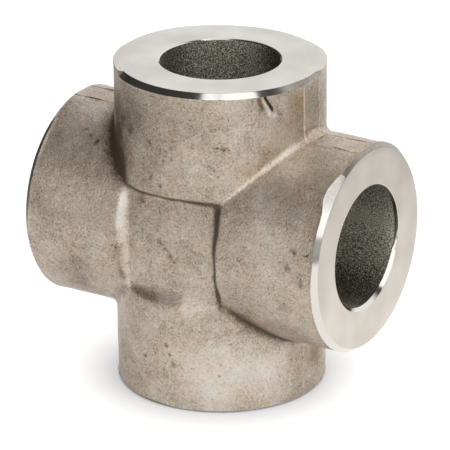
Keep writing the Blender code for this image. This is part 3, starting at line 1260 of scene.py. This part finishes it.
        # The round patches add stains and painted light and shade to the tone and the warmth.
        tone, warmth = self.stain(tree, place, *values)
        blotches, clouds, grains, specks, hues = (
            add_node(tree, "ShaderNodeTexNoise", {
                "Vector": place, "Scale": 1.0 / size, "Detail": detail,
                "Roughness": self.fall}).outputs["Fac"]
            for size, detail in (
                (self.blotch, 3.0), (self.cloud, 3.0), (self.grain, 1.0), (self.pit, 1.0), (self.tint, 2.0))
        )
        pits = add_node(tree, "ShaderNodeMapRange", {
            "Value": specks, "From Min": self.pit_edges[0], "From Max": self.pit_edges[1]},
            interpolation_type="SMOOTHSTEP").outputs["Result"]
        weights = self.blotch_weight + self.cloud_weight + self.grain_weight
        # The tone carries the painted shade and highlight of the steps, creases and marks.
        shade = weigh(tree, (
            (blotches, self.blotch_weight), (clouds, self.cloud_weight), (grains, self.grain_weight),
            (pits, self.pit_weight), (tone, self.tone_weight)), 0.5 - weights / 2)
        ramp = add_node(tree, "ShaderNodeValToRGB", {"Fac": shade}, stops=self.stops)
        warm = add_node(tree, "ShaderNodeMix", {
            0: warmth, 6: ramp.outputs["Color"], 7: linear(self.brown)},
            data_type="RGBA", blend_type="MULTIPLY", clamp_factor=True).outputs[2]
        tint = add_node(tree, "ShaderNodeValToRGB", {"Fac": hues}, stops=self.tints)
        tinted = add_node(tree, "ShaderNodeMix", {0: 1.0, 6: warm, 7: tint.outputs["Color"]},
                          data_type="RGBA", blend_type="MULTIPLY").outputs[2]
        tree.links.new(tinted, shader.inputs["Base Color"])
        height = weigh(tree, (
            (grains, self.grain_height), (clouds, self.cloud_height), (pits, self.pit_height)), 0.0)
        relief = add_node(tree, "ShaderNodeBump", {
            "Height": height, "Distance": self.grain_depth, "Strength": 1.0})
        tree.links.new(relief.outputs["Normal"], shader.inputs["Normal"])
        return material


@dataclass(frozen=True)
class TurnedBevel(Finish):
    """Bright stainless steel, turned on the bevel, which mirrors the studio softly.

    Where it is ground by hand or left scaled it is dull, and scale also darkens it. The
    grinding scratches of 0.1 mm are drawn at 0.5 mm, so that they show.
    """

    name: str = "bright_turned_stainless"
    roughness: float = 0.13
    dull_roughness: float = 0.5
    bright: str = "#d6d3cd"
    scaled: str = "#5a5044"
    scratch: float = 0.5 * MM
    scratch_depth: float = 0.03 * MM
    streak: float = 0.8

    def build(self) -> bpy.types.Material:
        """Make the bevel: its gloss, colour and scratches follow how dull it is.

        Returns:
            The material.
        """
        material, tree, shader, place, (dull, scale) = self.start(PointValue.DULL, PointValue.SCALE)
        gloss = weigh(tree, ((dull, self.dull_roughness - self.roughness),), self.roughness)
        tree.links.new(gloss, shader.inputs["Roughness"])
        scratches = add_node(tree, "ShaderNodeTexNoise", {
            "Vector": place, "Scale": 1.0 / self.scratch, "Detail": 2.0,
            "Roughness": self.fall}).outputs["Fac"]
        streaks = weigh(tree, ((scratches, self.streak),), -self.streak / 2)
        darkened = weigh(tree, ((dull, streaks),), scale)
        colour = add_node(tree, "ShaderNodeMix", {
            0: darkened, 6: linear(self.bright), 7: linear(self.scaled)}, data_type="RGBA", clamp_factor=True)
        tree.links.new(colour.outputs[2], shader.inputs["Base Color"])
        relief = add_node(tree, "ShaderNodeBump", {
            "Height": scratches, "Distance": self.scratch_depth, "Strength": dull})
        tree.links.new(relief.outputs["Normal"], shader.inputs["Normal"])
        return material


@dataclass(frozen=True)
class TurnedFace(Finish):
    """Stainless steel, faced on a lathe with a fine feed: satin, pale and nearly even.

    The feed of 0.15 mm is drawn as 0.9 mm bands of slightly different paleness.
    """

    name: str = "face_turned_stainless"
    roughness: float = 0.42
    band: float = 0.9 * MM
    band_weight: float = 0.18
    drift: float = 9.0 * MM
    drift_weight: float = 0.82
    stops: tuple[tuple[float, str], ...] = ((0.35, "#cecac3"), (0.65, "#dddad5"))
    warm: str = "#f0e0cc"

    def build(self) -> bpy.types.Material:
        """Make the face: faint rings by the distance from the arm's axis, and a slow drift.

        Returns:
            The material.
        """
        material, tree, shader, place, (from_axis, warmth) = self.start(
            PointValue.FROM_AXIS, PointValue.WARMTH)
        bands = add_node(tree, "ShaderNodeTexNoise", {
            "W": from_axis, "Scale": 1.0 / self.band, "Detail": 2.0, "Roughness": self.fall},
            noise_dimensions="1D").outputs["Fac"]
        drift = add_node(tree, "ShaderNodeTexNoise", {
            "Vector": place, "Scale": 1.0 / self.drift, "Detail": 1.0, "Roughness": self.fall}).outputs["Fac"]
        shade = weigh(tree, ((bands, self.band_weight), (drift, self.drift_weight)), 0.0)
        ramp = add_node(tree, "ShaderNodeValToRGB", {"Fac": shade}, stops=self.stops)
        warm = add_node(tree, "ShaderNodeMix", {
            0: warmth, 6: ramp.outputs["Color"], 7: linear(self.warm)},
            data_type="RGBA", blend_type="MULTIPLY", clamp_factor=True).outputs[2]
        tree.links.new(warm, shader.inputs["Base Color"])
        return material


@dataclass(frozen=True)
class BoredWall(Finish):
    """Stainless steel, rough bored and pickled: dull, with an olive cast and torn grains.

    The tone paints shade on the walls where little light reaches, and paints light on the right bore's back
    wall. The torn grains of 0.1 to 0.2 mm are drawn at 0.3 mm, so that they show.
    """

    name: str = "rough_bored_stainless"
    roughness: float = 0.42
    metallic: float = 0.5
    grain: float = 0.3 * MM
    grain_depth: float = 0.08 * MM
    tone_weight: float = 0.12
    stops: tuple[tuple[float, str], ...] = ((0.30, "#302e29"), (0.5, "#8b887b"), (0.67, "#e8e5d8"))

    def build(self) -> bpy.types.Material:
        """Make the bore's wall: an even coarse grain in colour and relief, with painted shade and light by
        the tone.

        Returns:
            The material.
        """
        material, tree, shader, place, (tone,) = self.start(PointValue.TONE)
        grains = add_node(tree, "ShaderNodeTexNoise", {
            "Vector": place, "Scale": 1.0 / self.grain, "Detail": 1.5, "Roughness": self.fall}).outputs["Fac"]
        # The tone paints shade on the walls and light on the right bore's back wall.
        shade = weigh(tree, ((tone, self.tone_weight),), grains)
        ramp = add_node(tree, "ShaderNodeValToRGB", {"Fac": shade}, stops=self.stops)
        tree.links.new(ramp.outputs["Color"], shader.inputs["Base Color"])
        relief = add_node(tree, "ShaderNodeBump", {
            "Height": grains, "Distance": self.grain_depth, "Strength": 1.0})
        tree.links.new(relief.outputs["Normal"], shader.inputs["Normal"])
        return material


@dataclass(frozen=True)
class LightPanel:
    """A soft rectangular source, far off, seen from the cross.

    Azimuths turn in degrees from the front to the right, elevations rise from the
    horizon. The panel fades over its soft edge, which is centred on its limits.
    """

    middle: float
    half_width: float
    lower: float
    upper: float
    strength: float
    soft: float = 8.0


@dataclass(frozen=True)
class Studio:
    """Pale floor, dark studio and soft panels around the cross.

    The card's own white is what the camera and mirrors see. An ambient occlusion node
    lowers it near the foot of the cross, as a painted contact shadow. It fills a straight strip
    of the card and fades between the white edges, which are distances from the strip's middle line.
    Beyond them the card is a plain pale grey. The white turn is the angle from X to the
    direction across the strip, and the white middle is how far the line lies that way.
    """

    floor_height: float
    floor_half_size: float = 4.0
    card: str = "#b8b8b8"
    card_white: float = 0.8
    contact_reach: float = 12.0 * MM
    contact_samples: int = 12
    white_turn: float = 31.0
    white_middle: float = 25.0 * MM
    white_edges: tuple[float, float] = (100.0 * MM, 240.0 * MM)
    panels: tuple[LightPanel, ...] = (
        LightPanel(middle=47.0, half_width=52.0, lower=14.0, upper=75.0, strength=1.5, soft=6.0),
        LightPanel(middle=50.0, half_width=50.0, lower=-4.0, upper=14.0, strength=0.45, soft=6.0),
        LightPanel(middle=178.0, half_width=50.0, lower=-4.0, upper=66.0, strength=1.1, soft=26.0),
        LightPanel(middle=-16.0, half_width=26.0, lower=-4.0, upper=23.0, strength=1.0, soft=10.0),
        LightPanel(middle=90.0, half_width=180.0, lower=76.0, upper=120.0, strength=1.0),
    )
    dim: float = 0.05

    def build_panel(self, tree: bpy.types.NodeTree, panel: LightPanel, unit: Any,
                    rise: Any) -> bpy.types.NodeSocket:
        """Return a panel's share at a direction: the product of three smooth limits.

        Args:
            tree: The world's node tree.
            panel: The panel.
            unit: The unit direction.
            rise: The direction's elevation.

        Returns:
            The share, from 0 to 1.
        """
        middle, soft = math.radians(panel.middle), math.radians(panel.soft) / 2
        ahead = (math.sin(middle), -math.cos(middle), 0.0)
        beside = (math.cos(middle), math.sin(middle), 0.0)
        forward = add_node(tree, "ShaderNodeVectorMath", {0: unit, 1: ahead}, operation="DOT_PRODUCT")
        sideways = add_node(tree, "ShaderNodeVectorMath", {0: unit, 1: beside}, operation="DOT_PRODUCT")
        turn = add_node(tree, "ShaderNodeMath", {
            0: sideways.outputs["Value"], 1: forward.outputs["Value"]}, operation="ARCTAN2")
        off = add_node(tree, "ShaderNodeMath", {0: turn.outputs[0]}, operation="ABSOLUTE").outputs[0]
        share: Any = 1.0
        for value, limit, sign in (
            (off, math.radians(panel.half_width), -1),
            (rise, math.radians(panel.lower), 1),
            (rise, math.radians(panel.upper), -1),
        ):
            inside = add_node(tree, "ShaderNodeMapRange", {
                "Value": value, "From Min": limit - sign * soft, "From Max": limit + sign * soft},
                interpolation_type="SMOOTHSTEP").outputs["Result"]
            share = add_node(tree, "ShaderNodeMath", {0: inside, 1: share}, operation="MULTIPLY").outputs[0]
        return share

    def build_world(self) -> None:
        """Give the world its light: a dim even level plus the panels."""
        world = bpy.data.worlds.new("plain_studio")
        world.use_nodes = True
        bpy.context.scene.world = world
        tree = world.node_tree
        direction = add_node(tree, "ShaderNodeTexCoord").outputs["Generated"]
        unit = add_node(tree, "ShaderNodeVectorMath", {0: direction}, operation="NORMALIZE").outputs[0]
        height = add_node(tree, "ShaderNodeSeparateXYZ", {0: unit}).outputs["Z"]
        rise = add_node(tree, "ShaderNodeMath", {0: height}, operation="ARCSINE").outputs[0]
        parts = tuple((self.build_panel(tree, panel, unit, rise), panel.strength) for panel in self.panels)
        tree.links.new(weigh(tree, parts, self.dim), tree.nodes["Background"].inputs["Strength"])
        tree.nodes["Background"].inputs["Color"].default_value = (1.0, 1.0, 1.0, 1.0)

    def own_white(self, tree: bpy.types.NodeTree) -> Any:
        """Return the strength of the card's own white.

        It is the product of the card's white and three shares: whether the ray is a camera,
        glossy or transmission ray, how open the place is by an ambient occlusion node, which
        paints the contact shadow, and how near it is to the strip's middle line.

        Args:
            tree: The card's node tree.

        Returns:
            The output of the last product.
        """
        path = add_node(tree, "ShaderNodeLightPath").outputs
        seen = add_node(tree, "ShaderNodeMath", {
            0: path["Is Camera Ray"], 1: path["Is Glossy Ray"]}, operation="ADD").outputs[0]
        seen = add_node(tree, "ShaderNodeMath", {
            0: seen, 1: path["Is Transmission Ray"]}, operation="ADD", use_clamp=True).outputs[0]
        # Ambient occlusion paints the contact shadow into the card's own white.
        openness = add_node(tree, "ShaderNodeAmbientOcclusion", {"Distance": self.contact_reach},
                            samples=self.contact_samples).outputs["AO"]
        turn = math.radians(self.white_turn)
        place = add_node(tree, "ShaderNodeTexCoord").outputs["Object"]
        beside = add_node(tree, "ShaderNodeVectorMath", {
            0: place, 1: (math.cos(turn), math.sin(turn), 0.0)}, operation="DOT_PRODUCT").outputs["Value"]
        off = add_node(tree, "ShaderNodeMath", {0: beside, 1: self.white_middle}, operation="SUBTRACT")
        off = add_node(tree, "ShaderNodeMath", {0: off.outputs[0]}, operation="ABSOLUTE").outputs[0]
        near = add_node(tree, "ShaderNodeMapRange", {
            "Value": off, "From Min": self.white_edges[1], "From Max": self.white_edges[0]},
            interpolation_type="SMOOTHSTEP").outputs["Result"]
        white: Any = self.card_white
        for share in (openness, near, seen):
            white = add_node(tree, "ShaderNodeMath", {0: share, 1: white}, operation="MULTIPLY").outputs[0]
        return white

    def build_card(self) -> bpy.types.Material:
        """Make the floor's matt card, which scatters light and shows its own white.

        Returns:
            The material, whose white lights nothing.
        """
        material = bpy.data.materials.new("pale_studio_card")
        material.use_nodes = True
        tree = material.node_tree
        shader = tree.nodes["Principled BSDF"]
        shader.inputs["Base Color"].default_value = linear(self.card)
        shader.inputs["Roughness"].default_value = 1.0
        shader.inputs["Specular IOR Level"].default_value = 0.0
        shader.inputs["Emission Color"].default_value = (1.0, 1.0, 1.0, 1.0)
        tree.links.new(self.own_white(tree), shader.inputs["Emission Strength"])
        material.cycles.emission_sampling = "NONE"
        return material

    def build_floor(self) -> bpy.types.Object:
        """Make the floor: pale card that keeps a soft shadow, partly lit and partly painted, and looks white
        elsewhere.

        Returns:
            The floor, declared as stage.
        """
        half = self.floor_half_size
        corners = np.array([(-half, -half), (half, -half), (half, half), (-half, half)])
        mesh = bpy.data.meshes.new("floor")
        mesh.from_pydata(np.column_stack([corners, np.full(4, self.floor_height)]), [], [(0, 1, 2, 3)])
        mesh.materials.append(self.build_card())
        floor = bpy.data.objects.new("floor", mesh)
        bpy.context.scene.collection.objects.link(floor)
        floor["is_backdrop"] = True
        return floor


@dataclass(frozen=True)
class PhotoCamera:
    """Camera of the photograph, as solved from the cross's rims and axes.

    Lens and sensor are in mm. Back is the direction from the cross to the camera, and
    off-centre is how far the cross lies to the right and up, in metres.
    """

    lens: float = 292.8
    sensor: float = 36.0
    nearest: float = 0.01
    farthest: float = 50.0
    distance: float = 0.8266
    back: tuple[float, float, float] = (0.4800, -0.7930, 0.3752)
    roll: float = math.radians(-0.323)
    off_centre: tuple[float, float] = (-0.000901, 0.002085)

    def build(self) -> bpy.types.Object:
        """Make the camera, aimed at the cross and moved sideways by its off-centre.

        Returns:
            The camera, which is also made the scene's own.
        """
        back = Vector(self.back).normalized()
        level = Vector((0.0, 0.0, 1.0)).cross(back).normalized()
        rise = back.cross(level)
        right = level * math.cos(self.roll) + rise * math.sin(self.roll)
        up = rise * math.cos(self.roll) - level * math.sin(self.roll)
        data = bpy.data.cameras.new("photo_camera")
        data.lens = self.lens
        data.sensor_width = self.sensor
        data.clip_start = self.nearest
        data.clip_end = self.farthest
        camera = bpy.data.objects.new("photo_camera", data)
        place = back * self.distance - right * self.off_centre[0] - up * self.off_centre[1]
        turn = Matrix((right, up, back)).transposed().to_4x4()
        camera.matrix_world = Matrix.Translation(place) @ turn
        bpy.context.scene.collection.objects.link(camera)
        bpy.context.scene.camera = camera
        return camera


def main() -> None:
    """Build the camera, the studio and the cross."""
    logging.basicConfig(level=logging.INFO, format="%(name)s: %(message)s")
    cad_box = [list(corner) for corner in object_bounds()]
    scene = bpy.context.scene
    scene.view_settings.view_transform = "Standard"
    PhotoCamera().build()
    studio = Studio(floor_height=cad_box[0][2])
    studio.build_world()
    studio.build_floor()
    materials = [PickledForging().build(), TurnedBevel().build(), TurnedFace().build(), BoredWall().build()]
    cross = ForgedCross().build(materials)
    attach(cross, "root")
    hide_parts("cross_body")
    LOG.info("%s: %d points, %d faces", cross.name, len(cross.data.vertices), len(cross.data.polygons))


if __name__ == "__main__":
    main()
